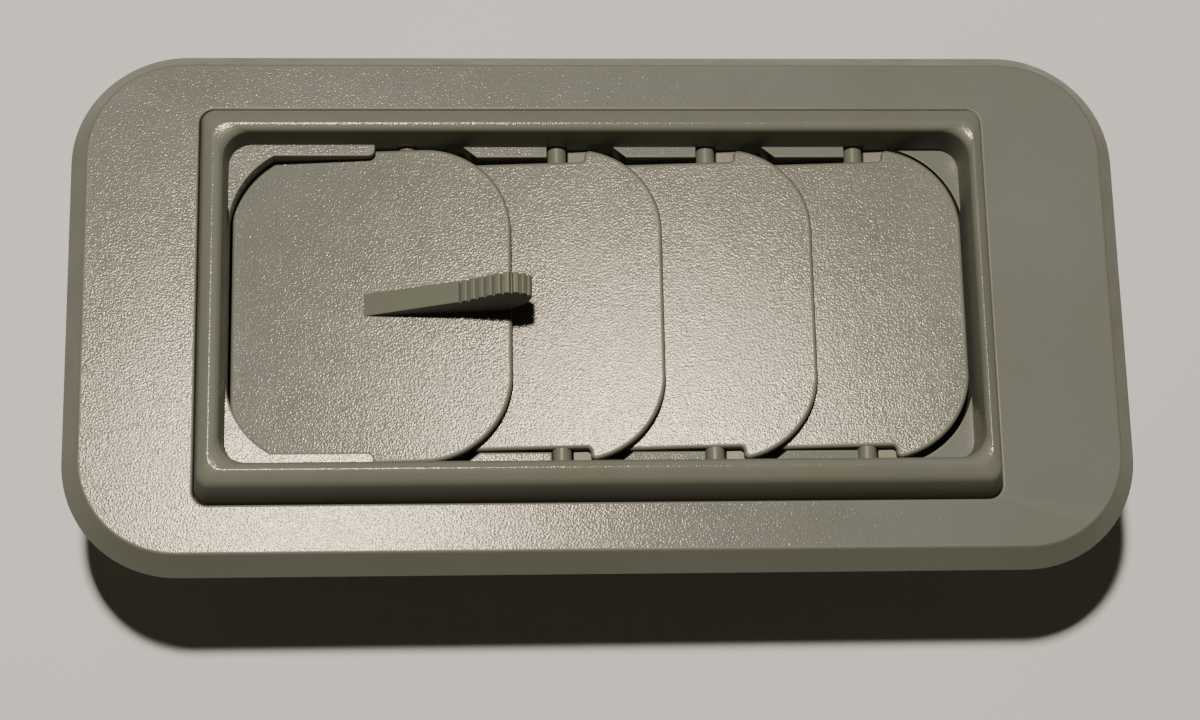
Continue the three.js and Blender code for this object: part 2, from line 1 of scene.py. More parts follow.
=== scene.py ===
"""Visual model of a hand-set louvre air vent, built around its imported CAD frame.

Sizes are in millimetres from the middle of the plate's front face, +Z out of the wall and
+X along the plate, and every mesh is written in metres in the frame's own axes.
"""

import json
import logging
import math
from collections.abc import Sequence
from dataclasses import dataclass, field
from enum import Enum

import bmesh
import bpy
from mathutils import Matrix, Vector

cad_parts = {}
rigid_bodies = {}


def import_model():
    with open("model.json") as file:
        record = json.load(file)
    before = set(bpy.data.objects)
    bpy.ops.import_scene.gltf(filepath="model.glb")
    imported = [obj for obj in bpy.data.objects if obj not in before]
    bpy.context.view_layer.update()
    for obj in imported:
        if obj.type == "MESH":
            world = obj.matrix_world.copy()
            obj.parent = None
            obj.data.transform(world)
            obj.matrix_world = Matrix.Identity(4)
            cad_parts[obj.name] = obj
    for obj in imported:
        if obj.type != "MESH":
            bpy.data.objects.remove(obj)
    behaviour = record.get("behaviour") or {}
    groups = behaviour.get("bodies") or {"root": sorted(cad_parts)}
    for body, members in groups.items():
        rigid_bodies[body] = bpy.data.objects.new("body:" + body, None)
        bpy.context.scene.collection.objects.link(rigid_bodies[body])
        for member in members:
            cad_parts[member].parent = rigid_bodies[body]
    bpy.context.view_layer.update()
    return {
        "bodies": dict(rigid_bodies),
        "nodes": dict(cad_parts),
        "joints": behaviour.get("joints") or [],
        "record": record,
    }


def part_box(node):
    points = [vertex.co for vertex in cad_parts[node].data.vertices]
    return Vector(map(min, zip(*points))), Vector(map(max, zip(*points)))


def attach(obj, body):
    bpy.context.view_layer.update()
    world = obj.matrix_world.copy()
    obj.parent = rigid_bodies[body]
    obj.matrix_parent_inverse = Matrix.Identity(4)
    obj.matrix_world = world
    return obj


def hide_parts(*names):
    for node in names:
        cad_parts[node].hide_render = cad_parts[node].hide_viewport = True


MM = 0.001
Point = tuple[float, float]
LOG = logging.getLogger("vent")


class Body(Enum):
    """Bodies of the frame that pieces ride on."""

    ROOT = "root"
    BLADE_1 = "blade_1"
    BLADE_2 = "blade_2"
    BLADE_3 = "blade_3"
    BLADE_4 = "blade_4"
    LINK_BAR = "link_bar"


class Slot(Enum):
    """Material slots of the record."""

    GRAINED = "grained_plastic"
    SMOOTH = "smooth_plastic"
    NYLON = "nylon"
    FOAM = "foam"
    RUBBER = "rubber"
    STEEL = "steel"


class Axis(Enum):
    """Direction in which an outline is drawn out or turned."""

    X = "x"
    Y = "y"
    Z = "z"


BLADE_BODIES = (Body.BLADE_1, Body.BLADE_2, Body.BLADE_3, Body.BLADE_4)


# ------------------------------------------------------------------ finishes


class NodeGraph:
    """A material's node tree with short calls to add and link nodes."""

    def __init__(self, name: str) -> None:
        """Starts an empty material with a Principled shader.

        Args:
            name: Name of the material.
        """
        self.material = bpy.data.materials.new(name)
        self.material.use_nodes = True
        self.tree = self.material.node_tree
        self.tree.nodes.clear()
        output = self.tree.nodes.new("ShaderNodeOutputMaterial")
        self.shader = self.tree.nodes.new("ShaderNodeBsdfPrincipled")
        self.link(self.shader.outputs[0], output.inputs["Surface"])

    def link(self, source: bpy.types.NodeSocket, target: bpy.types.NodeSocket) -> None:
        """Joins two sockets."""
        self.tree.links.new(source, target)

    def millimetres(self, stretch: Sequence[float] = (1, 1, 1)) -> bpy.types.NodeSocket:
        """Object coordinates in millimetres.

        Args:
            stretch: Factor on each axis, to draw a pattern out.

        Returns:
            The vector socket.
        """
        place = self.tree.nodes.new("ShaderNodeTexCoord")
        mapping = self.tree.nodes.new("ShaderNodeMapping")
        mapping.inputs["Scale"].default_value = [s / MM for s in stretch]
        self.link(place.outputs["Object"], mapping.inputs["Vector"])
        return mapping.outputs[0]

    def noise(self, vector: bpy.types.NodeSocket, scale: float, detail: float = 2) -> bpy.types.NodeSocket:
        """Noise between 0 and 1.

        Args:
            vector: Coordinates.
            scale: Features per millimetre.
            detail: Octaves.

        Returns:
            The value socket.
        """
        node = self.tree.nodes.new("ShaderNodeTexNoise")
        node.inputs["Scale"].default_value = scale
        node.inputs["Detail"].default_value = detail
        self.link(vector, node.inputs["Vector"])
        return node.outputs[0]

    def cells(self, vector: bpy.types.NodeSocket, scale: float) -> bpy.types.NodeSocket:
        """Distance to the nearest of many scattered points.

        Args:
            vector: Coordinates.
            scale: Cells per millimetre.

        Returns:
            The distance socket.
        """
        node = self.tree.nodes.new("ShaderNodeTexVoronoi")
        node.inputs["Scale"].default_value = scale
        self.link(vector, node.inputs["Vector"])
        return node.outputs["Distance"]

    def spread(self, value: bpy.types.NodeSocket, low: float, high: float, start: float = 0.3,
               stop: float = 0.7) -> bpy.types.NodeSocket:
        """Maps a value from [start, stop] to [low, high].

        Args:
            value: Value socket.
            low: Result at start.
            high: Result at stop.
            start: Lower end of the input.
            stop: Upper end of the input.

        Returns:
            The mapped socket.
        """
        node = self.tree.nodes.new("ShaderNodeMapRange")
        for key, number in (("From Min", start), ("From Max", stop), ("To Min", low), ("To Max", high)):
            node.inputs[key].default_value = number
        self.link(value, node.inputs["Value"])
        return node.outputs[0]

    def mix(self, factor: bpy.types.NodeSocket, first: object, second: object) -> bpy.types.NodeSocket:
        """Mixes two colours.

        Args:
            factor: Share of the second colour.
            first: Colour socket or RGB numbers.
            second: RGB numbers.

        Returns:
            The colour socket.
        """
        node = self.tree.nodes.new("ShaderNodeMix")
        node.data_type = "RGBA"
        self.link(factor, node.inputs[0])
        for colour, socket in ((first, node.inputs[6]), (second, node.inputs[7])):
            if isinstance(colour, bpy.types.NodeSocket):
                self.link(colour, socket)
            else:
                socket.default_value = (*colour, 1)
        return node.outputs[2]

    def edges(self) -> bpy.types.NodeSocket:
        """Share from 0 to 1 that rises on outward edges."""
        geometry = self.tree.nodes.new("ShaderNodeNewGeometry")
        return self.spread(geometry.outputs["Pointiness"], 0, 1, 0.505, 0.56)

    def bump(self, height: bpy.types.NodeSocket, strength: float, distance_mm: float,
             below: bpy.types.NodeSocket | None = None) -> bpy.types.NodeSocket:
        """Turns a height into a normal.

        Args:
            height: Height socket.
            strength: Strength of the bump.
            distance_mm: Depth of the pattern.
            below: Normal that this one lies on.

        Returns:
            The normal socket.
        """
        node = self.tree.nodes.new("ShaderNodeBump")
        node.inputs["Strength"].default_value = strength
        node.inputs["Distance"].default_value = distance_mm * MM
        self.link(height, node.inputs["Height"])
        if below is not None:
            self.link(below, node.inputs["Normal"])
        return node.outputs[0]


@dataclass(frozen=True)
class PlasticFinish:
    """Moulded plastic, plain or with a fine spark-eroded grain."""

    name: str
    colour: tuple[float, float, float] = (0.160, 0.166, 0.143)
    bloom: tuple[float, float, float] = (0.178, 0.184, 0.168)
    roughness: float = 0.42
    roughness_spread: float = 0.06
    grain_per_mm: float = 1.5
    grain_depth: float = 0.0
    waviness: float = 0.02
    wear: float = 0.35
    refraction: float = 1.37
    gloss_tint: tuple[float, float, float, float] = (1.0, 0.86, 0.68, 1.0)

    def build(self) -> bpy.types.Material:
        """Builds the material.

        Returns:
            The material.
        """
        graph = NodeGraph(self.name)
        place = graph.millimetres()
        patches = graph.noise(place, 0.022, 3)
        colour = graph.mix(graph.spread(patches, 0, 1), self.colour, self.bloom)
        flecks = graph.noise(place, 2.4, 2)
        darker = tuple(c * 0.86 for c in self.colour)
        colour = graph.mix(graph.spread(flecks, 0, 0.5, 0.55, 0.75), colour, darker)
        worn = tuple(min(1.0, c * 1.35) for c in self.bloom)
        edge = graph.spread(graph.edges(), 0, self.wear, 0, 1)
        colour = graph.mix(edge, colour, worn)
        graph.link(colour, graph.shader.inputs["Base Color"])
        rough = graph.noise(place, 0.12, 3)
        low = self.roughness - self.roughness_spread
        high = self.roughness + self.roughness_spread
        graph.link(graph.spread(rough, low, high), graph.shader.inputs["Roughness"])
        normal = graph.bump(graph.noise(place, 0.035, 1), 0.5, self.waviness * 8)
        if self.grain_depth:
            normal = graph.bump(graph.noise(place, self.grain_per_mm, 2), 1, self.grain_depth, normal)
        else:
            normal = graph.bump(graph.noise(place, 3, 2), 0.4, 0.004, normal)
        graph.link(normal, graph.shader.inputs["Normal"])
        graph.shader.inputs["IOR"].default_value = self.refraction
        graph.shader.inputs["Specular Tint"].default_value = self.gloss_tint
        return graph.material


@dataclass(frozen=True)
class MetalFinish:
    """Zinc-plated steel with drawn streaks and a faint spangle."""

    name: str
    colour: tuple[float, float, float] = (0.56, 0.57, 0.58)
    dull: tuple[float, float, float] = (0.4, 0.4, 0.39)
    roughness: float = 0.3
    streak: tuple[float, float, float] = (1, 12, 1)

    def build(self) -> bpy.types.Material:
        """Builds the material.

        Returns:
            The material.
        """
        graph = NodeGraph(self.name)
        place = graph.millimetres()
        spangle = graph.spread(graph.cells(place, 0.6), 0, 0.8, 0.2, 0.9)
        graph.link(graph.mix(spangle, self.colour, self.dull), graph.shader.inputs["Base Color"])
        streaks = graph.noise(graph.millimetres(self.streak), 1.4, 3)
        graph.link(graph.spread(streaks, self.roughness - 0.08, self.roughness + 0.12),
                   graph.shader.inputs["Roughness"])
        graph.link(graph.bump(streaks, 0.5, 0.01), graph.shader.inputs["Normal"])
        graph.shader.inputs["Metallic"].default_value = 1
        return graph.material


@dataclass(frozen=True)
class SoftFinish:
    """Foam or rubber: dull, with pores or a fine skin."""

    name: str
    colour: tuple[float, float, float]
    dusty: tuple[float, float, float]
    roughness: float = 0.9
    pores_per_mm: float = 1.6
    pore_depth: float = 0.25

    def build(self) -> bpy.types.Material:
        """Builds the material.

        Returns:
            The material.
        """
        graph = NodeGraph(self.name)
        place = graph.millimetres()
        pores = graph.cells(place, self.pores_per_mm)
        graph.link(graph.mix(graph.spread(pores, 0, 1, 0.1, 0.7), self.colour, self.dusty),
                   graph.shader.inputs["Base Color"])
        low, high = self.roughness - 0.08, min(1, self.roughness + 0.05)
        graph.link(graph.spread(graph.noise(place, 0.5), low, high), graph.shader.inputs["Roughness"])
        graph.link(graph.bump(pores, 0.8, self.pore_depth), graph.shader.inputs["Normal"])
        return graph.material


@dataclass
class Finishes:
    """The finishes of the vent, each built once."""

    grained: bpy.types.Material = field(default_factory=lambda: PlasticFinish(
        "grained_plastic", roughness=0.15, roughness_spread=0.02, grain_per_mm=2.3, grain_depth=0.048,
        waviness=0.008, wear=0.12).build())
    smooth: bpy.types.Material = field(default_factory=lambda: PlasticFinish(
        "smooth_plastic", colour=(0.142, 0.149, 0.115), bloom=(0.154, 0.160, 0.130), roughness=0.42,
        waviness=0.006, wear=0.12).build())
    nylon: bpy.types.Material = field(default_factory=lambda: PlasticFinish(
        "natural_nylon", colour=(0.66, 0.64, 0.57), bloom=(0.74, 0.72, 0.66), roughness=0.4,
        wear=0.1).build())
    foam: bpy.types.Material = field(default_factory=lambda: SoftFinish(
        "foam", (0.035, 0.035, 0.036), (0.012, 0.012, 0.012)).build())
    rubber: bpy.types.Material = field(default_factory=lambda: SoftFinish(
        "rubber", (0.02, 0.02, 0.021), (0.045, 0.044, 0.042), roughness=0.7, pores_per_mm=2.5,
        pore_depth=0.03).build())
    steel: bpy.types.Material = field(default_factory=lambda: MetalFinish("zinc_steel").build())


# ------------------------------------------------------------------ mesh tools


@dataclass(frozen=True)
class Level:
    """One rounded rectangle of a loft, in millimetres."""

    hx: float
    hy: float
    r: float
    z: float
    finish: int = 0
    cx: float = 0.0

    def grown(self, by: float, z: float | None = None, finish: int | None = None) -> "Level":
        """The same rectangle offset outwards.

        Args:
            by: Offset.
            z: New height, or None to keep it.
            finish: New material index, or None to keep it.

        Returns:
            The new level.
        """
        return Level(self.hx + by, self.hy + by, max(self.r + by, 0.3),
                     self.z if z is None else z, self.finish if finish is None else finish, self.cx)

    def loop(self, steps: int) -> list[Vector]:
        """Points round the rectangle, anticlockwise.

        Args:
            steps: Segments in each corner.

        Returns:
            The points.
        """
        points = []
        corners = ((1, 1), (-1, 1), (-1, -1), (1, -1))
        for quarter, (sx, sy) in enumerate(corners):
            cx, cy = sx * (self.hx - self.r), sy * (self.hy - self.r)
            for i in range(steps + 1):
                angle = (quarter + i / steps) * math.pi / 2
                x = self.cx + cx + self.r * math.cos(angle)
                points.append(Vector((x, cy + self.r * math.sin(angle), self.z)))
        return points


def arc(cx: float, cy: float, r: float, start: float, stop: float, steps: int) -> list[Point]:
    """Points on an arc.

    Args:
        cx: Centre, first coordinate.
        cy: Centre, second coordinate.
        r: Radius.
        start: First angle in degrees.
        stop: Last angle in degrees.
        steps: Segments.

    Returns:
        The points, both ends included.
    """
    angles = [math.radians(start + (stop - start) * i / steps) for i in range(steps + 1)]
    return [(cx + r * math.cos(a), cy + r * math.sin(a)) for a in angles]


def bezier(points: Sequence[Point], steps: int) -> list[Point]:
    """Points on a Bezier curve of any degree.

    Args:
        points: Control points.
        steps: Segments.

    Returns:
        The points, both ends included.
    """
    found = []
    for i in range(steps + 1):
        t = i / steps
        level = list(points)
        while len(level) > 1:
            level = [((1 - t) * a[0] + t * b[0], (1 - t) * a[1] + t * b[1]) for a, b in zip(level, level[1:])]
        found.append(level[0])
    return found


class Shape:
    """A mesh in the making, in millimetres from the middle of the plate's face."""

    def __init__(self) -> None:
        """Starts an empty mesh."""
        self.bm = bmesh.new()

    def loft(self, levels: Sequence[Level], steps: int = 14, capped: bool = False) -> "Shape":
        """Adds a skin through stacked rounded rectangles.

        Args:
            levels: Rectangles in order, up the outside and down the inside.
            steps: Segments in each corner.
            capped: True for a solid with flat ends, False for a ring closed on itself.

        Returns:
            This shape.
        """
        rings = [[self.bm.verts.new(p) for p in level.loop(steps)] for level in levels]
        pairs = list(zip(rings, rings[1:] if capped else rings[1:] + rings[:1]))
        for level, (low, high) in zip(levels, pairs):
            count = len(low)
            for i in range(count):
                j = (i + 1) % count
                face = self.bm.faces.new((low[i], low[j], high[j], high[i]))
                face.material_index = level.finish
        if capped:
            self.bm.faces.new(list(reversed(rings[0])))
            self.bm.faces.new(rings[-1])
        return self

    def prism(self, outline: Sequence[Point], low: float, high: float, axis: Axis = Axis.Z) -> "Shape":
        """Adds a solid drawn out of a flat outline.

        Args:
            outline: Points (X, Y) for Z, (X, Z) for Y, or (Y, Z) for X.
            low: Where the solid starts along the axis.
            high: Where it ends.
            axis: Direction in which it is drawn out.

        Returns:
            This shape.
        """
        place = {
            Axis.Z: lambda a, b, c: (a, b, c),
            Axis.Y: lambda a, b, c: (a, c, b),
            Axis.X: lambda a, b, c: (c, a, b),
        }[axis]
        ends = [[self.bm.verts.new(place(a, b, c)) for a, b in outline] for c in (low, high)]
        faces = [self.bm.faces.new(ends[0]), self.bm.faces.new(list(reversed(ends[1])))]
        count = len(outline)
        for i in range(count):
            j = (i + 1) % count
            faces.append(self.bm.faces.new((ends[0][j], ends[0][i], ends[1][i], ends[1][j])))
        bmesh.ops.recalc_face_normals(self.bm, faces=faces)
        return self

    def lathe(self, profile: Sequence[Point], centre: Sequence[float], axis: Axis, steps: int = 28,
              hollow: bool = False) -> "Shape":
        """Adds a turned solid.

        Args:
            profile: Points (radius, place along the axis).
            centre: Point on the axis.
            axis: Axis of turning.
            steps: Segments round the axis.
            hollow: True for a ring whose profile closes on itself.

        Returns:
            This shape.
        """
        place = {
            Axis.Z: lambda c, s, h: (c, s, h),
            Axis.Y: lambda c, s, h: (s, h, c),
            Axis.X: lambda c, s, h: (h, c, s),
        }[axis]
        start = Vector(centre)
        rings = []
        for radius, along in profile:
            turns = [2 * math.pi * i / steps for i in range(steps)]
            if radius < 1e-6:
                rings.append([self.bm.verts.new(start + Vector(place(0, 0, along)))])
            else:
                spots = [place(radius * math.cos(a), radius * math.sin(a), along) for a in turns]
                rings.append([self.bm.verts.new(start + Vector(spot)) for spot in spots])
        faces = []
        pairs = zip(rings, rings[1:] + rings[:1]) if hollow else zip(rings, rings[1:])
        for low, high in pairs:
            for i in range(steps):
                j = (i + 1) % steps
                corners = [low[i % len(low)], low[j % len(low)], high[j % len(high)], high[i % len(high)]]
                unique = list(dict.fromkeys(corners))
                if len(unique) > 2:
                    faces.append(self.bm.faces.new(unique))
        bmesh.ops.recalc_face_normals(self.bm, faces=faces)
        return self

    def move(self, matrix: Matrix) -> "Shape":
        """Moves everything made so far by a matrix in millimetres."""
        self.bm.transform(matrix)
        return self

    def mirrored(self) -> "Shape":
        """Adds a copy mirrored to the other side in Y."""
        whole = self.bm.verts[:] + self.bm.edges[:] + self.bm.faces[:]
        made = bmesh.ops.duplicate(self.bm, geom=whole)["geom"]
        verts = [g for g in made if isinstance(g, bmesh.types.BMVert)]
        faces = [g for g in made if isinstance(g, bmesh.types.BMFace)]
        bmesh.ops.scale(self.bm, vec=(1, -1, 1), verts=verts)
        bmesh.ops.reverse_faces(self.bm, faces=faces)
        return self

    def inset(self, normal: Vector, width: float, inner: int, least_area: float = 200) -> "Shape":
        """Frames the large faces that look along a direction with a band, and marks what is inside.

        Args:
            normal: Direction the faces look.
            width: Width of the band.
            inner: Material index inside the band.
            least_area: Smallest face that is framed, in square millimetres.

        Returns:
            This shape.
        """
        self.bm.normal_update()
        faces = [f for f in self.bm.faces if f.normal.dot(normal) > 0.995 and f.calc_area() > least_area]
        bmesh.ops.inset_region(self.bm, faces=faces, thickness=width, use_even_offset=True)
        for face in faces:
            face.material_index = inner
        return self

    def to_object(self, name: str, materials: Sequence[bpy.types.Material], bevel: float = 0.0,
                  segments: int = 3) -> bpy.types.Object:
        """Turns the shape into an object in metres, with rounded edges and clean shading.

        Args:
            name: Name of the object.
            materials: Its material slots in order.
            bevel: Radius of the edges in millimetres, or 0 to leave them.
            segments: Steps in each rounded edge.

        Returns:
            The object.
        """
        self.bm.transform(Matrix.Translation((0, 0, Vent.face_z)) @ Matrix.Scale(MM, 4))
        mesh = bpy.data.meshes.new(name)
        self.bm.to_mesh(mesh)
        self.bm.free()
        mesh.polygons.foreach_set("use_smooth", [True] * len(mesh.polygons))
        for material in materials:
            mesh.materials.append(material)
        made = bpy.data.objects.new(name, mesh)
        bpy.context.scene.collection.objects.link(made)
        if bevel:
            rounding = made.modifiers.new("rounding", "BEVEL")
            rounding.width = bevel * MM
            rounding.segments = segments
            rounding.limit_method = "ANGLE"
            rounding.angle_limit = math.radians(42)
            rounding.use_clamp_overlap = True
            rounding.miter_outer = "MITER_ARC"
        else:
            mesh.set_sharp_from_angle(angle=math.radians(40))
        shading = made.modifiers.new("shading", "WEIGHTED_NORMAL")
        shading.keep_sharp = True
        shading.weight = 60
        return made


def cut(target: bpy.types.Object, tool: bpy.types.Object) -> None:
    """Cuts one object out of another, and removes the tool.

    Args:
        target: Object that is cut.
        tool: Object that cuts.
    """
    boolean = target.modifiers.new("cut", "BOOLEAN")
    boolean.operation = "DIFFERENCE"
    boolean.solver = "EXACT"
    boolean.object = tool
    while target.modifiers[0] != boolean:
        bpy.context.view_layer.objects.active = target
        target.modifiers.move(target.modifiers.find("cut"), 0)
    with bpy.context.temp_override(object=target, active_object=target):
        bpy.ops.object.modifier_apply(modifier="cut")
    target.data.set_sharp_from_angle(angle=math.radians(35))
    bpy.data.objects.remove(tool)


def settle(piece: bpy.types.Object, body: Body, slot: Slot, *nodes: str) -> bpy.types.Object:
    """Hangs a piece on the body that it rides on and hides the CAD nodes that it stands for.

    Args:
        piece: The piece.
        body: Body it rides on.
        slot: Material slot. Not used.
        *nodes: CAD nodes it replaces.

    Returns:
        The piece.
    """
    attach(piece, body.value)
    if nodes:
        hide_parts(*nodes)
    LOG.info("%s rides on %s, %d faces", piece.name, body.value, len(piece.data.polygons))
    return piece


# ------------------------------------------------------------------ sub-assemblies


@dataclass
class FacePlate:
    """The wall plate: a shell with a sloping skirt, a cut-out and screw bosses behind."""

    finishes: Finishes
    face: Level = Level(115, 56.7, 21.9, 0)
    cut_out: Level = Level(88.9, 45.8, 3.3, 0, cx=-1.0)
    slope_out: float = 4.1
    depth: float = 6.0
    wall: float = 2.2
    edge_radius: float = 0.8
    band: float = 0.15
    boss_radius: float = 2.4

    def edge(self) -> list[Level]:
        """The rounded edge between skirt and face, going up.

        Returns:
            The levels.
        """
        turn = math.atan2(self.depth, self.slope_out)
        reach = self.edge_radius * math.tan(turn / 2)
        curve = arc(-reach, -self.edge_radius, self.edge_radius, 90 - math.degrees(turn), 90, 6)
        return [self.face.grown(x, z, 1) for x, z in curve]

    def build(self) -> None:
        """Builds and dresses the plate and its bosses."""
        rear = self.slope_out
        levels = [self.face.grown(rear - 0.5, -self.depth, 1),
                  self.face.grown(rear - 0.15, -self.depth + 0.1, 1),
                  self.face.grown(rear - 0.1, -self.depth + 0.4, 1)]
        levels += self.edge()
        levels.append(levels[-1].grown(-self.band, finish=0))
        levels.append(self.cut_out.grown(0.4 + self.band, 0, 1))
        levels += [self.cut_out.grown(x, z, 1) for x, z in arc(0.4, -0.4, 0.4, 90, 180, 3)]
        levels.append(self.cut_out.grown(0, -self.wall, 1))
        levels.append(self.face.grown(-2.2, -self.wall, 1))
        levels.append(self.face.grown(-1.6, -self.wall - 0.5, 1))
        levels.append(self.face.grown(0.8, -self.depth, 1))
        materials = [self.finishes.grained, self.finishes.smooth]
        shell = Shape().loft(levels, 22).to_object("plate_shell", materials)
        settle(shell, Body.ROOT, Slot.GRAINED, "face_plate")
        bosses = Shape()
        low, high = -5.2, -self.wall + 0.3
        for x, y in Vent.screw_spots():
            profile = [(1.05, low + 0.2), (1.25, low), (self.boss_radius - 0.2, low),
                       (self.boss_radius, low + 0.2), (self.boss_radius, high), (1.05, high)]
            bosses.lathe(profile, (x, y, 0), Axis.Z, 24, hollow=True)
        made = bosses.to_object("plate_bosses", [self.finishes.smooth])
        settle(made, Body.ROOT, Slot.GRAINED, "face_plate")


@dataclass
class LouvreFrame:
    """The raised frame round the blades, with the ribs and ledges that they close against."""

    finishes: Finishes
    base: Level = Level(88.6, 45.5, 3, 0, cx=-1.0)
    flange: Level = Level(95, 51.5, 6, 0, cx=-1.1)
    opening: Level = Level(82.75, 36.9, 5, 0, cx=-0.2)
    spigot: Level = Level(84.75, 38.9, 7, 0, cx=-0.2)
    ledge_half: float = 34.4
    rib_start: float = 21.3
    rib_slant: float = 3.1
    rib_front: float = -0.4
    driver_rib_front: float = 0.7
    driver_rib_seat: float = 2.4
    driver_rib_end: float = -50.4
    driver_rib_arc: tuple[float, float, float] = (-63.05, 17.1, 20)
    pad_end: float = 8.5
    pad_half: float = 32.0
    rail_front: float = -6.0
    rail_rear: float = -8.0
    corner_front: float = -2.2
    corner_gap: float = 1.25
    bore: float = 2.22

    def collar(self) -> list[Level]:
        """The collar's section, up its sloping outside and down its inner wall.

        Returns:
            The levels.
        """
        levels = [self.flange.grown(-0.2, -7.5, 1), self.flange.grown(0, -7.3, 1),
                  self.flange.grown(0, -5.7, 1), self.flange.grown(-0.2, -5.5, 1),
                  self.base.grown(0, -5.5, 1), self.base.grown(0, 0, 1)]
        slope = [(87.75, 43.4, 5.7), (87.6, 43.1, 6.3), (87.35, 42.65, 6.75), (86.95, 42.0, 7.05),
                 (86.2, 40.9, 7.35)]
        levels += [Level(x, y, 3, z, 1, -1 + 0.03 * i) for i, (x, y, z) in enumerate(slope)]
        levels += [Level(85.55, 40, 3, 7.57, 0, -0.8), Level(85.3, 39.65, 3.4, 7.6, 0, -0.75),
                   Level(84.6, 38.75, 4.5, 7.4, 1, -0.4), Level(84.15, 38.3, 5.2, 7.12, 1, -0.3),
                   Level(83.8, 38.05, 5.7, 6.7, 1, -0.25), Level(83.65, 37.95, 6, 6.2, 1, -0.2)]
        levels += [self.opening.grown(0, self.rib_front, 1), self.opening.grown(0, -14.8, 1),
                   self.opening.grown(0.2, -15, 1), self.spigot.grown(-0.2, -15, 1),
                   self.spigot.grown(0, -14.8, 1), self.spigot.grown(0, 4.5, 1),
                   Level(86, 41.4, 5, 4.5, 1, -1), Level(87, 44, 2, -7.5, 1, -1.1)]
        return levels

    def bores(self) -> bpy.types.Object:
        """The bores for the pivots and the grooves they were slid in by, as a cutting tool.

        Returns:
            The tool.
        """
        tool = Shape()
        for pivot in Vent.pivots():
            x, z, r = pivot.x, pivot.z, self.bore
            outline = [(x - r, 3.2), (x - r, z)] + arc(x, z, r, 180, 360, 16)[1:] + [(x + r, 3.2)]
            tool.prism(outline, self.opening.hy - 1, self.opening.hy + 0.28, Axis.Y)
            tool.prism(arc(x, z, r, 0, 360, 32)[:-1], self.opening.hy + 0.2, self.spigot.hy + 1, Axis.Y)
        tool.mirrored()
        return tool.to_object("bores", [])

    def ledge_z(self, x: float, pivot: Vector) -> float:
        """Height of the pads behind a closed blade.

        Args:
            x: Place along the frame.
            pivot: The blade's pivot.

        Returns:
            The height.
        """
        return pivot.z + (Blade.back - 0.3) / math.cos(Blade.tilt) + (x - pivot.x) * math.tan(Blade.tilt)

    def rails(self) -> list[bpy.types.Object]:
        """The rails along both long walls, the pads on them and the ribs in front of the blades.

        Returns:
            The pieces.
        """
        pivots = Vent.pivots()
        rails, ribs = Shape(), Shape()
        wall = self.opening.cx + self.opening.hx + 0.5
        rear = self.opening.hy + 0.6
        for pivot, following in zip(pivots, pivots[1:] + [None]):
            start, end = pivot.x + self.bore + 0.3, pivot.x + self.pad_end
            pad = [(start, self.rail_rear), (end, self.rail_rear), (end, self.ledge_z(end, pivot)),
                   (start, self.ledge_z(start, pivot))]
            rails.prism(pad, self.pad_half, rear, Axis.Y)
            stop = wall if following is None else following.x - self.bore - 0.1
            low = [(end - 0.5, self.rail_rear), (stop, self.rail_rear), (stop, self.rail_front),
                   (end - 0.5, self.rail_front)]
            rails.prism(low, self.ledge_half + 0.05, rear, Axis.Y)
            if following is not None:
                rib = following.x - self.rib_start
                over = self.rib_slant / (self.opening.hy - self.ledge_half)
                corners = [(rib + self.rib_slant, self.ledge_half), (stop, self.ledge_half), (stop, rear),
                           (rib - 0.6 * over, rear)]
                ribs.prism(corners, self.rail_rear + 0.4, self.rib_front)
        materials = [self.finishes.smooth, self.finishes.grained]
        ribs.inset(Vector((0, 0, 1)), 0.45, 1, 10)
        return [rails.mirrored().to_object("frame_rails", materials[:1], 0.25, 2),
                ribs.mirrored().to_object("frame_ribs", materials, 0.22, 2)]

    def corners(self) -> bpy.types.Object:
        """The flat ledges in the opening's corners beside the last blade.

        Returns:
            The piece.
        """
        last = Vent.pivots()[-1]
        wall_x, wall_y = self.opening.cx + self.opening.hx + 0.5, self.opening.hy + 0.5
        r = Blade.corner + self.corner_gap
        x, y = last.x + (Blade.right - Blade.corner) * math.cos(Blade.tilt), Blade.half - Blade.corner
        low, high = math.degrees(math.acos((wall_x - x) / r)), math.degrees(math.asin((wall_y - y) / r))
        outline = [(wall_x, wall_y)] + arc(x, y, r, high, low, 24)
        shape = Shape().prism(outline, self.rail_rear, self.corner_front)
        shape.inset(Vector((0, 0, 1)), 0.6, 1, 10)
        shape.mirrored()
        return shape.to_object("frame_corner_ledges", [self.finishes.smooth, self.finishes.grained], 0.2, 2)

    def driver_rib(self) -> bpy.types.Object:
        """The stop in front of the first blade's left corners.

        Returns:
            The piece.
        """
        wall, end, stop = self.opening.hx - self.opening.cx + 0.6, 1.6, self.driver_rib_end
        pivot = Vent.pivots()[0]
        x, y, r = self.driver_rib_arc
        meet = math.degrees(math.asin((self.ledge_half - y) / r))
        outline = [(-wall, self.opening.hy + 0.6), (-wall, y), (x - r, y)]
        outline += arc(x, y, r, 180, 180 - meet, 20)[1:]
        outline += arc(stop - end, self.ledge_half + end, end, -90, 0, 6)
        outline += [(stop, self.opening.hy + 0.6)]
        shape = Shape().prism(outline, -9, self.driver_rib_front)
        for vert in shape.bm.verts:
            if vert.co.z < -5:
                rise = (vert.co.x - pivot.x) * math.tan(Blade.tilt)
                vert.co.z = pivot.z + self.driver_rib_seat / math.cos(Blade.tilt) + rise
        shape.bm.normal_update()
        shape.inset(Vector((0, 0, 1)), 0.5, 1, 10)
        shape.mirrored()
        return shape.to_object("frame_driver_stop", [self.finishes.smooth, self.finishes.grained], 0.3, 3)

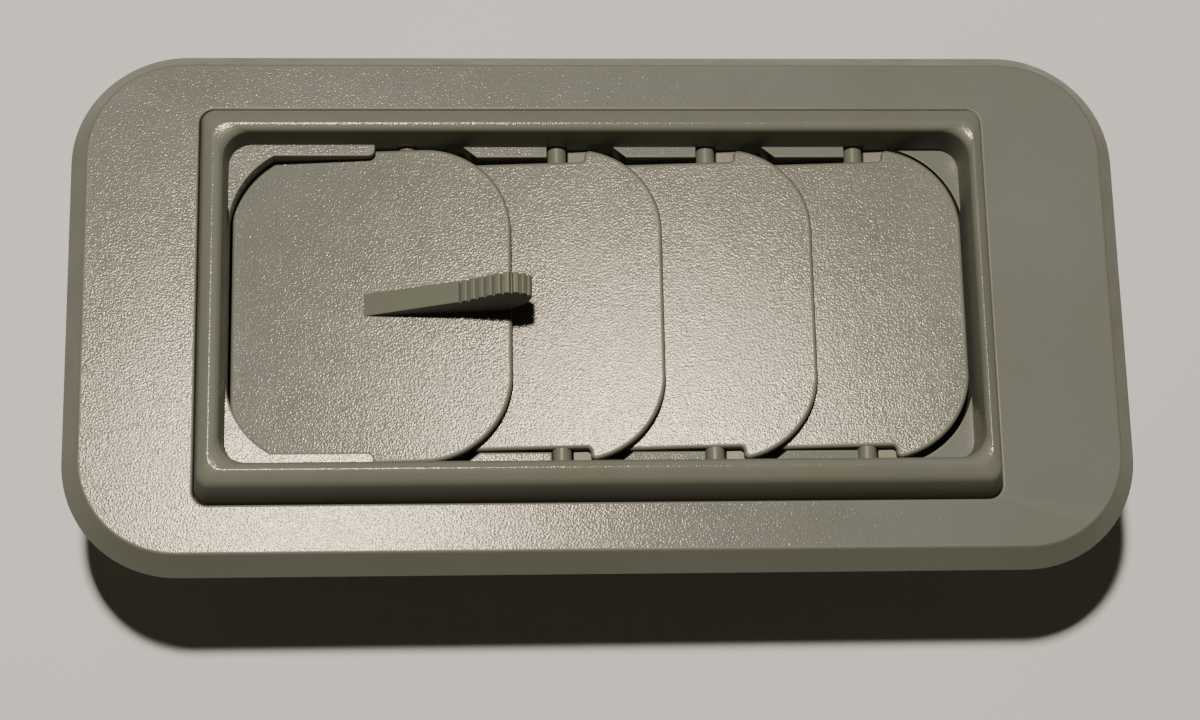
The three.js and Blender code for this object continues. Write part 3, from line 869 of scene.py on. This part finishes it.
    def build(self) -> None:
        """Builds and dresses the frame."""
        materials = [self.finishes.grained, self.finishes.smooth]
        shell = Shape().loft(self.collar(), 12).to_object("frame_shell", materials)
        cut(shell, self.bores())
        for piece in (shell, *self.rails(), self.corners(), self.driver_rib()):
            settle(piece, Body.ROOT, Slot.GRAINED, "louvre_frame")


@dataclass
class Blade:
    """A swinging blade with its pivots and its crank."""

    finishes: Finishes
    index: int
    right: float = 23.45
    front: float = 2.1
    back: float = 0.0
    half: float = 36.5
    neck_half: float = 33.5
    neck_right: float = 6.4
    driver_left: float = 39.25
    driver_corner: float = 15.0
    follower_left: float = 19.3
    pin: float = 2.15
    crank: tuple[float, float] = (-23, -4)
    crank_radius: float = 1.5
    tip_radius: float = 1.2
    notch_radius: float = 0.9
    tilt = math.radians(5)
    corner = 19.8

    @property
    def drives(self) -> bool:
        """True for the first blade, which carries the lever."""
        return self.index == 0

    def outline(self) -> list[Point]:
        """The flat outline of the blade in its own axes.

        Returns:
            The points, anticlockwise.
        """
        r, right, top = self.corner, self.right, self.half
        tip = self.tip_radius
        lean = 90.0
        if not self.drives:
            lean = math.degrees(math.acos((self.neck_right + tip - right + r) / (r - tip)))
        upper = arc(right - r, top - r, r, 0, lean, 22)
        if self.drives:
            rl = self.driver_corner
            upper += arc(-self.driver_left + rl, top - rl, rl, 90, 180, 20)
        else:
            small = self.notch_radius
            tip_y = top - r + (r - tip) * math.sin(math.radians(lean))
            upper += arc(self.neck_right + tip, tip_y, tip, lean, 180, 6)[1:]
            upper += arc(self.neck_right - small, self.neck_half + small, small, 0, -90, 5)
            upper += arc(-self.follower_left + 1, self.neck_half - 1, 1, 90, 180, 4)
        lower = [(x, -y) for x, y in reversed(upper)]
        return upper + lower[:-1]

    def build(self) -> None:
        """Builds and dresses the blade."""
        pivot = Vent.pivots()[self.index]
        place = Matrix.Translation(pivot) @ Matrix.Rotation(-self.tilt, 4, "Y")
        panel = Shape().prism(self.outline(), self.back, self.front)
        panel.inset(Vector((0, 0, 1)), 0.85, 1)
        name = f"blade_{self.index + 1}"
        materials = [self.finishes.smooth, self.finishes.grained]
        body = BLADE_BODIES[self.index]
        made = panel.move(place).to_object(f"{name}_panel", materials, 0.6, 4)
        settle(made, body, Slot.GRAINED, name)
        fittings = Shape()
        inner = self.half - 10 if self.drives else self.neck_half - 9
        edge = self.half - 0.2 if self.drives else self.neck_half - 0.2
        end = 41.1 if self.drives else 38.7
        profile = [(0, inner), (1.9, inner), (1.9, edge), (self.pin, edge + 0.05), (self.pin, end - 0.4),
                   (self.pin - 0.4, end), (0, end)]
        fittings.lathe(profile, (0, 0, 0), Axis.Y, 28)
        web = [(-1, -0.6), (1, -0.6), (1.3, self.back + 0.2), (-1.3, self.back + 0.2)]
        fittings.prism(web, inner - 14, inner + 1, Axis.Y)
        fittings.mirrored()
        u, w = self.crank
        ear = [(-8, self.back + 0.3), (-18.8, self.back + 0.3), (u - 1.9, w + 1.9)]
        ear += arc(u, w, 2.7, 135, 306, 14)
        fittings.prism(ear, 19.5, 21.7, Axis.Y)
        crank = [(0, 20), (self.crank_radius, 20), (self.crank_radius, 25.9), (1.2, 26.0), (1.2, 26.2),
                 (self.crank_radius, 26.3), (self.crank_radius - 0.4, 26.7), (0, 26.7)]
        fittings.lathe(crank, (u, 0, w), Axis.Y, 20)
        made = fittings.move(place).to_object(f"{name}_pivots", materials[:1], 0.15, 2)
        settle(made, body, Slot.GRAINED, name)


@dataclass
class ThumbLever:
    """The ridged finger lever on the first blade."""

    finishes: Finishes
    foot: float = 5.2
    tip: float = 4.7
    ridges: int = 9
    ridge_depth: float = 1.15
    sunk_seat: float = 1.9
    heel_x: float = -53.0
    length: float = 37.0

    def crest(self) -> list[Point]:
        """The ramp and the ridged crest, from left to right.

        Returns:
            The points.
        """
        points = [(self.heel_x, -1.84), (-32.0, 7.91)]
        control = [(-32.0, 7.91), (-25.0, 12.51), (-19.7, 18.91), (-15.7, 11.31)]
        fine = bezier(control, 400)
        lengths = [0.0]
        for a, b in zip(fine, fine[1:]):
            lengths.append(lengths[-1] + math.dist(a, b))

        def at(share: float) -> tuple[Point, Point]:
            """Point at a share of the crest's length, and the direction of the crest there."""
            goal = share * lengths[-1]
            k = min(max(next((i for i, s in enumerate(lengths) if s >= goal), 399), 1), 399)
            (x0, z0), (x1, z1) = fine[k - 1], fine[k + 1]
            size = math.dist((x0, z0), (x1, z1))
            return fine[k], ((x1 - x0) / size, (z1 - z0) / size)

        for i in range(self.ridges):
            for share, depth in ((0.02, 1), (0.2, 1), (0.3, 0.1), (0.45, 0), (0.78, 0), (0.92, 0.1)):
                (x, z), (tx, tz) = at((i + share) / self.ridges)
                points.append((x + depth * self.ridge_depth * tz, z - depth * self.ridge_depth * tx))
        return points

    def build(self) -> None:
        """Builds and dresses the lever."""
        pivot = Vent.pivots()[0]

        def seat(x: float) -> float:
            """Height of the lever's foot at x, sunk a little into the blade."""
            return pivot.z + self.sunk_seat / math.cos(Blade.tilt) + (x - pivot.x) * math.tan(Blade.tilt)

        under = bezier([(-16.2, 8.51), (-17.2, 5.3), (-19.6, seat(-19.6) + 2.2), (-22.6, seat(-22.6))], 8)
        outline = self.crest() + under + [(-52.8, seat(-52.8))]
        shape = Shape().prism(outline, -0.5, 0.5, Axis.Y)
        for vert in shape.bm.verts:
            share = (vert.co.x - self.heel_x) / self.length
            vert.co.y *= self.foot + (self.tip - self.foot) * share
        made = shape.to_object("lever_grip", [self.finishes.smooth], 0.14, 2)
        settle(made, Body.BLADE_1, Slot.SMOOTH, "thumb_lever")


@dataclass
class Linkage:
    """The bar that ties the four cranks, and the clips that hold it."""

    finishes: Finishes
    bar_y: float = 22.2
    bar_width: float = 2.5
    bar_half: float = 2.5
    bar_end: float = 3.5
    hole: float = 1.58

    def crank_points(self) -> list[Point]:
        """Crank pins at rest as (X, Z).

        Returns:
            The points.
        """
        u, w = Blade(self.finishes, 0).crank
        c, s = math.cos(Blade.tilt), math.sin(Blade.tilt)
        return [(p.x + u * c - w * s, p.z + u * s + w * c) for p in Vent.pivots()]

    def build(self) -> None:
        """Builds and dresses the bar and its clips."""
        points = self.crank_points()
        (x0, z), (x1, _) = points[0], points[-1]
        reach = self.bar_end - self.bar_half
        outline = arc(x1 + reach, z, self.bar_half, -90, 90, 12)
        outline += arc(x0 - reach, z, self.bar_half, 90, 270, 12)
        bar = Shape().prism(outline, self.bar_y, self.bar_y + self.bar_width, Axis.Y)
        made = bar.to_object("linkage_bar", [self.finishes.nylon])
        holes = Shape()
        for x, zc in points:
            rim = arc(x, zc, self.hole, 0, 360, 24)[:-1]
            holes.prism(rim, self.bar_y - 1, self.bar_y + self.bar_width + 1, Axis.Y)
        cut(made, holes.to_object("crank_holes", []))
        settle(made, Body.LINK_BAR, Slot.NYLON, "link_bar")
        low = self.bar_y + self.bar_width + 0.3
        for i, (x, zc) in enumerate(points):
            profile = [(1.55, low), (2.9, low), (3.0, low + 0.15), (3.0, low + 0.55), (2.9, low + 0.7),
                       (1.55, low + 0.7)]
            clip = Shape().lathe(profile, (x, 0, zc), Axis.Y, 28, hollow=True)
            settle(clip.to_object(f"crank_clip_{i + 1}", [self.finishes.steel]), BLADE_BODIES[i], Slot.STEEL,
                   f"link_clip_{i + 1}")


@dataclass
class Duct:
    """The duct sleeve behind the frame, its gasket, friction rings and spring clips, and the places of the
    clip screws.
    """

    finishes: Finishes
    inner: Level = Level(85.05, 39.2, 7.3, 0, cx=-0.2)
    wall: float = 1.6
    front: float = -7.8
    rear: float = -46.0
    clip_z: float = -33.0
    clip_y: float = 9.0

    def sleeve(self) -> None:
        """Builds the sleeve."""
        outer = self.inner.grown(self.wall)
        levels = [outer.grown(-0.45, self.rear), outer.grown(-0.12, self.rear + 0.12),
                  outer.grown(0, self.rear + 0.45)]
        levels += [outer.grown(0, self.front - 0.3), outer.grown(-0.3, self.front),
                   self.inner.grown(0.3, self.front), self.inner.grown(0, self.front - 0.3),
                   self.inner.grown(0, self.rear + 0.4),
                   self.inner.grown(0.4, self.rear)]
        made = Shape().loft(levels, 14).to_object("duct_sleeve", [self.finishes.smooth])
        holes = Shape()
        for side in (1, -1):
            for y in (self.clip_y, -self.clip_y):
                ends = sorted((outer.cx + side * (outer.hx - 4), outer.cx + side * (outer.hx + 4)))
                holes.prism(arc(y, self.clip_z, 1.1, 0, 360, 16)[:-1], ends[0], ends[1], Axis.X)
        cut(made, holes.to_object("clip_holes", []))
        settle(made, Body.ROOT, Slot.SMOOTH, "rear_duct")

    def gasket(self) -> None:
        """Builds the foam strip behind the plate."""
        outer = FacePlate(self.finishes).face.grown(-2.4)
        inner = outer.grown(-2.6)
        levels = [outer.grown(-0.3, -6.4), outer.grown(0, -6.0), outer.grown(0, -2.5), inner.grown(0, -2.5),
                  inner.grown(0, -6.0), inner.grown(0.3, -6.4)]
        made = Shape().loft(levels, 20).to_object("foam_gasket", [self.finishes.foam])
        settle(made, Body.ROOT, Slot.FOAM, "wall_gasket")

    def friction_rings(self) -> None:
        """Builds the rubber rings on the first blade's pivots."""
        pivot = Vent.pivots()[0]
        for name, side in (("upper", 1), ("lower", -1)):
            low, high = side * 39.2, side * 40.4
            bend = side * 0.25
            profile = [(2.25, low), (3.35, low), (3.6, low + bend), (3.6, high - bend), (3.35, high),
                       (2.25, high)]
            ring = Shape().lathe(profile, (pivot.x, 0, pivot.z), Axis.Y, 32, hollow=True)
            settle(ring.to_object(f"ring_{name}", [self.finishes.rubber]), Body.ROOT, Slot.RUBBER,
                   f"friction_ring_{name}")

    def spring_clip(self, name: str, side: int) -> None:
        """Builds one bent steel clip.

        Args:
            name: left or right.
            side: -1 or 1 along X.
        """
        start = self.inner.hx + self.wall + 0.3
        thick = 0.8
        middle = [(0.4, -40.0), (0.4, -27.0)]
        middle += bezier([(0.4, -27.0), (0.4, -25.4), (1.2, -24.0)], 5)[1:]
        middle += bezier([(1.2, -24.0), (7.4, -14.4), (7.6, -13.6), (7.3, -10.6)], 8)[1:]
        left, right = [], []
        for i, (x, z) in enumerate(middle):
            (xa, za), (xb, zb) = middle[max(i - 1, 0)], middle[min(i + 1, len(middle) - 1)]
            size = math.dist((xa, za), (xb, zb))
            nx, nz = (zb - za) / size * thick / 2, -(xb - xa) / size * thick / 2
            left.append((self.inner.cx + side * (start + x + nx), z + nz))
            right.append((self.inner.cx + side * (start + x - nx), z - nz))
        strip = Shape().prism(left + right[::-1], -15, 15, Axis.Y)
        made = strip.to_object(f"clip_{name}", [self.finishes.steel])
        holes = Shape()
        ends = sorted((self.inner.cx + side * (start - 3), self.inner.cx + side * (start + 3)))
        for y in (self.clip_y, -self.clip_y):
            holes.prism(arc(y, self.clip_z, 1.1, 0, 360, 16)[:-1], ends[0], ends[1], Axis.X)
        cut(made, holes.to_object("holes", []))
        settle(made, Body.ROOT, Slot.STEEL, f"spring_clip_{name}")

    def build(self) -> None:
        """Builds and dresses everything behind the plate except the screws."""
        self.sleeve()
        self.gasket()
        self.friction_rings()
        for name, side in (("left", -1), ("right", 1)):
            self.spring_clip(name, side)


@dataclass
class Screws:
    """Pan-head screws with a cross recess and a ridged shank."""

    finishes: Finishes
    radius: float = 0.95
    head: float = 2.0
    pitch: float = 0.8

    def screw(self, name: str, length: float, place: Matrix, node: str) -> None:
        """Builds one screw.

        Args:
            name: Name of the piece.
            length: Length below the head.
            place: Where its head's seat is, with its shank along local +Z.
            node: CAD node it replaces.
        """
        profile = [(0, -1.3)] + [(1.2 * k / 3, -1.3) for k in (1, 2, 3)]
        profile += [(1.6, -1.15), (1.9, -0.8), (self.head, -0.1), (self.head - 0.1, 0), (self.radius, 0)]
        z = 0.4
        while z < length - 1.2:
            profile += [(self.radius - 0.18, z), (self.radius - 0.18, z + 0.25), (self.radius, z + 0.45)]
            z += self.pitch
        profile += [(self.radius - 0.2, length - 0.9), (0, length)]
        turned = Shape().lathe(profile, (0, 0, 0), Axis.Z, 24).move(place)
        made = turned.to_object(name, [self.finishes.steel])
        recess = Shape()
        recess.prism([(-1.1, -0.22), (1.1, -0.22), (1.1, 0.22), (-1.1, 0.22)], -2, -0.7)
        cross = Shape().prism([(-0.22, -1.1), (0.22, -1.1), (0.22, 1.1), (-0.22, 1.1)], -2, -0.72)
        cut(made, recess.move(place).to_object("slot_a", []))
        cut(made, cross.move(place).to_object("slot_b", []))
        settle(made, Body.ROOT, Slot.STEEL, node)

    def build(self) -> None:
        """Builds and dresses every screw."""
        for i, (x, y) in enumerate(Vent.screw_spots()):
            node = f"frame_screw_{i + 1}"
            self.screw(f"plate_screw_{i + 1}", 5.8, Matrix.Translation((x, y, -7.8)), node)
        duct = Duct(self.finishes)
        seat = duct.inner.hx + duct.wall + 1.4
        for name, side in (("left", -1), ("right", 1)):
            for end, y in (("upper", duct.clip_y), ("lower", -duct.clip_y)):
                turn = Matrix.Rotation(-side * math.pi / 2, 4, "Y")
                place = Matrix.Translation((duct.inner.cx + side * seat, y, duct.clip_z)) @ turn
                self.screw(f"duct_screw_{name}_{end}", 3.6, place, f"clip_screw_{name}_{end}")


# ------------------------------------------------------------------ studio


@dataclass
class Studio:
    """Floor, lights and camera."""

    floor_colour: tuple[float, float, float] = (0.8, 0.8, 0.8)
    camera_at: tuple[float, float, float] = (-36.94, -181.16, 580.10)
    right: tuple[float, float, float] = (0.998181, -0.021786, 0.056209)
    up: tuple[float, float, float] = (0.005318, 0.960602, 0.277876)
    lens: float = 81.81
    key_power: float = 18.0
    world_strength: float = 0.032

    def floor(self) -> None:
        """Lays a plain pale floor under the duct's rear end."""
        graph = NodeGraph("floor_paint")
        place = graph.millimetres()
        darker = tuple(c * 0.96 for c in self.floor_colour)
        shade = graph.spread(graph.noise(place, 0.01, 3), 0, 1)
        graph.link(graph.mix(shade, self.floor_colour, darker), graph.shader.inputs["Base Color"])
        graph.shader.inputs["Roughness"].default_value = 0.8
        mesh = bpy.data.meshes.new("floor")
        size = 3.0
        corners = [(-size, -size, 0), (size, -size, 0), (size, size, 0), (-size, size, 0)]
        mesh.from_pydata(corners, [], [(0, 1, 2, 3)])
        mesh.materials.append(graph.material)
        floor = bpy.data.objects.new("floor", mesh)
        bpy.context.scene.collection.objects.link(floor)

    def area(self, name: str, at: Sequence[float], size: tuple[float, float], power: float,
             colour: Sequence[float]) -> None:
        """Adds a soft light that looks at the middle of the plate.

        Args:
            name: Name of the light.
            at: Place in metres.
            size: Width and height in metres.
            power: Power in watts.
            colour: Colour of the light.
        """
        light = bpy.data.lights.new(name, "AREA")
        light.shape = "RECTANGLE"
        light.size, light.size_y = size
        light.energy = power
        light.color = colour
        made = bpy.data.objects.new(name, light)
        made.location = at
        aim = Vector((0, 0, 0.04)) - Vector(at)
        made.rotation_euler = aim.to_track_quat("-Z", "Y").to_euler()
        bpy.context.scene.collection.objects.link(made)

    def lights(self) -> None:
        """Adds the key and the pale surroundings."""
        self.area("key", (-0.115, 0.22, 1.25), (0.08, 0.08), self.key_power, (1.0, 0.93, 0.81))
        world = bpy.data.worlds.new("surroundings")
        world.use_nodes = True
        background = world.node_tree.nodes["Background"]
        background.inputs["Color"].default_value = (1.0, 0.84, 0.6, 1)
        background.inputs["Strength"].default_value = self.world_strength
        bpy.context.scene.world = world

    def camera(self) -> None:
        """Places the camera."""
        data = bpy.data.cameras.new("camera")
        data.lens = self.lens
        data.sensor_width = 36
        data.clip_start = 0.01
        made = bpy.data.objects.new("camera", data)
        right, up = Vector(self.right).normalized(), Vector(self.up).normalized()
        back = right.cross(up)
        turn = Matrix((right, up, back)).transposed().to_4x4()
        place = Vector(self.camera_at) * MM + Vector((0, 0, Vent.face_z))
        made.matrix_world = Matrix.Translation(place) @ turn
        bpy.context.scene.collection.objects.link(made)
        bpy.context.scene.camera = made

    def build(self) -> None:
        """Builds the whole studio."""
        self.floor()
        self.lights()
        self.camera()


class Vent:
    """Places that every sub-assembly shares, read from the frame."""

    face_z: float = 0.046
    frame: dict = {}

    @classmethod
    def read(cls, frame: dict) -> None:
        """Reads the frame.
        """
        cls.frame = frame
        cls.face_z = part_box("face_plate")[1][2]

    @classmethod
    def pivots(cls) -> list[Vector]:
        """The blades' pivots in millimetres from the plate's face.

        Returns:
            One point for each blade.
        """
        joints = cls.frame["record"]["behaviour"]["joints"]
        places = [j["pos_m"] for j in joints if j["child"].startswith("blade_")]
        return [Vector((x, y, z - cls.face_z)) / MM for x, y, z in places]

    @staticmethod
    def screw_spots() -> list[Point]:
        """Places of the screws behind the plate.

        Returns:
            The points (X, Y).
        """
        base = LouvreFrame.base
        right, left, wide = base.cx + base.hx + 2.9, base.cx - base.hx - 2.9, base.hy + 2.9
        ends = [(x, y) for x in (right, left) for y in (28, -28)]
        return ends + [(x, y) for x in (48, -48) for y in (wide, -wide)]


def main() -> None:
    """Builds the vent and its studio in order."""
    logging.basicConfig(level=logging.INFO, format="%(name)s: %(message)s")
    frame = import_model()
    Vent.read(frame)
    finishes = Finishes()
    Studio().build()
    FacePlate(finishes).build()
    LouvreFrame(finishes).build()
    for index in range(len(BLADE_BODIES)):
        Blade(finishes, index).build()
    ThumbLever(finishes).build()
    Linkage(finishes).build()
    Duct(finishes).build()
    Screws(finishes).build()
    bpy.context.view_layer.update()


if __name__ == "__main__":
    main()
